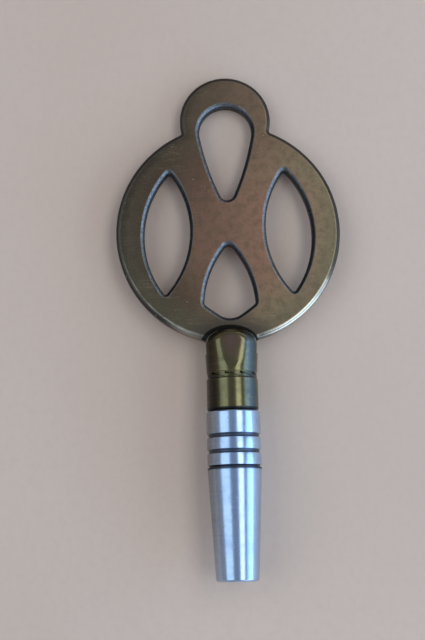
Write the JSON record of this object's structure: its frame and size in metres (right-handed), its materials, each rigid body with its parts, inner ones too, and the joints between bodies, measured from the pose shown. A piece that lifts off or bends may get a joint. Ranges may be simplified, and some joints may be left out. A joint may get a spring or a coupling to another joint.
{
  "type": "clock key",
  "caption": "Ratchet winding key: a pierced round bow with a chain loop, brazed into a brass boss, and a tapered steel pipe with a square socket that free-wheels one way.",
  "frame": {"origin": "middle of the square socket's mouth at the pipe's tip", "axes": "+Y along the pipe towards the bow, +Z out of the bow's face, X across the bow"},
  "size_m": [0.0212, 0.048, 0.005],
  "materials": {
    "bow_brass": "aged brown patina",
    "boss_brass": "worn, turned",
    "pipe_steel": "polished steel",
    "inner_steel": "plain steel"
  },
  "bodies": {
    "bow_body": {"bow": "bow_brass", "boss": "boss_brass", "spindle_screw": "inner_steel"},
    "spring_body": {"ratchet_spring": "inner_steel"},
    "pipe_body": {"ratchet_collar": "boss_brass", "pipe": "pipe_steel"}
  },
  "joints": [
    {"name": "ratchet_lift", "type": "slide", "parent": "bow_body", "child": "spring_body", "axis": [0, -1, 0], "range_m": [0, 0.00045], "stiffness_N_per_m": 2160, "springref_m": -0.0001, "deforming": ["ratchet_spring"]},
    {"name": "ratchet_turn", "type": "hinge", "parent": "spring_body", "child": "pipe_body", "pos_m": [0, 0.017, 0], "axis": [0, 1, 0], "range_deg": [0, 34]}
  ],
  "couplings": [
    {"joint": "ratchet_turn", "follows": "ratchet_lift", "rad_per_m": 1305.5}
  ]
}
